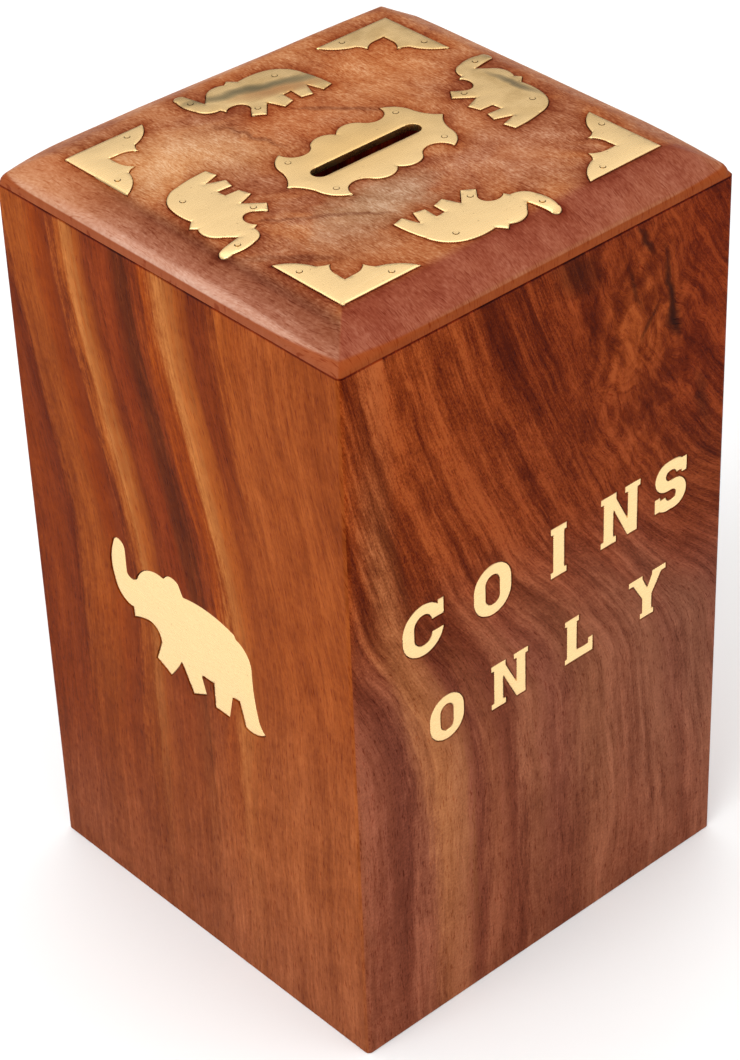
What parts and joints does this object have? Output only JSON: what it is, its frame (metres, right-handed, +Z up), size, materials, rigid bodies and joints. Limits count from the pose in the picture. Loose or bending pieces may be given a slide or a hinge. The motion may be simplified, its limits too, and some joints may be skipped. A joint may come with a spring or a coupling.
{
  "type": "wooden money box",
  "caption": "Tall square wooden money box with a coin slot in the top, brass inlays of elephants, corner brackets and capitals, and a screwed base.",
  "frame": {"origin": "centre of the underside, on the surface that the box stands on", "axes": "+Z up; the lettered wall faces -Y and the wall with the single elephant faces -X"},
  "size_m": [0.127, 0.124, 0.2127],
  "materials": {
    "wall_wood": "satin lacquered rosewood with dark and golden figure",
    "top_wood": "satin lacquered rosewood, pinker and paler than the walls",
    "base_wood": "sanded rosewood",
    "block_wood": "raw sawn wood",
    "brass_inlay": "satin, hand filed and sanded",
    "brass_pin": "filed flush",
    "screw_steel": "zinc plated"
  },
  "bodies": {
    "box": {"front_panel": "wall_wood", "left_panel": "wall_wood", "back_panel": "wall_wood", "right_panel": "wall_wood", "top_board": "top_wood", "slot_plate": "brass_inlay", "top_elephant_1": "brass_inlay", "top_elephant_2": "brass_inlay", "top_elephant_3": "brass_inlay", "top_elephant_4": "brass_inlay", "corner_bracket_1": "brass_inlay", "corner_bracket_2": "brass_inlay", "corner_bracket_3": "brass_inlay", "corner_bracket_4": "brass_inlay", "slot_plate_pins": "brass_pin", "elephant_pins": "brass_pin", "bracket_pins": "brass_pin", "side_elephant": "brass_inlay", "upper_letter_1": "brass_inlay", "upper_letter_2": "brass_inlay", "upper_letter_3": "brass_inlay", "upper_letter_4": "brass_inlay", "upper_letter_5": "brass_inlay", "lower_letter_1": "brass_inlay", "lower_letter_2": "brass_inlay", "lower_letter_3": "brass_inlay", "lower_letter_4": "brass_inlay", "glue_block_1": "block_wood", "glue_block_2": "block_wood", "glue_block_3": "block_wood", "glue_block_4": "block_wood"},
    "base": {"base_plate": "base_wood"},
    "screw_1": {"base_screw_1": "screw_steel"},
    "screw_2": {"base_screw_2": "screw_steel"},
    "screw_3": {"base_screw_3": "screw_steel"},
    "screw_4": {"base_screw_4": "screw_steel"}
  },
  "joints": [
    {"name": "base_lift_off", "type": "slide", "parent": "box", "child": "base", "axis": [0, 0, -1], "range_m": [0, 0.035]},
    {"name": "screw_1_draw", "type": "slide", "parent": "base", "child": "screw_1", "axis": [0, 0, -1], "range_m": [0, 0.027]},
    {"name": "screw_2_draw", "type": "slide", "parent": "base", "child": "screw_2", "axis": [0, 0, -1], "range_m": [0, 0.027]},
    {"name": "screw_3_draw", "type": "slide", "parent": "base", "child": "screw_3", "axis": [0, 0, -1], "range_m": [0, 0.027]},
    {"name": "screw_4_draw", "type": "slide", "parent": "base", "child": "screw_4", "axis": [0, 0, -1], "range_m": [0, 0.027]}
  ]
}
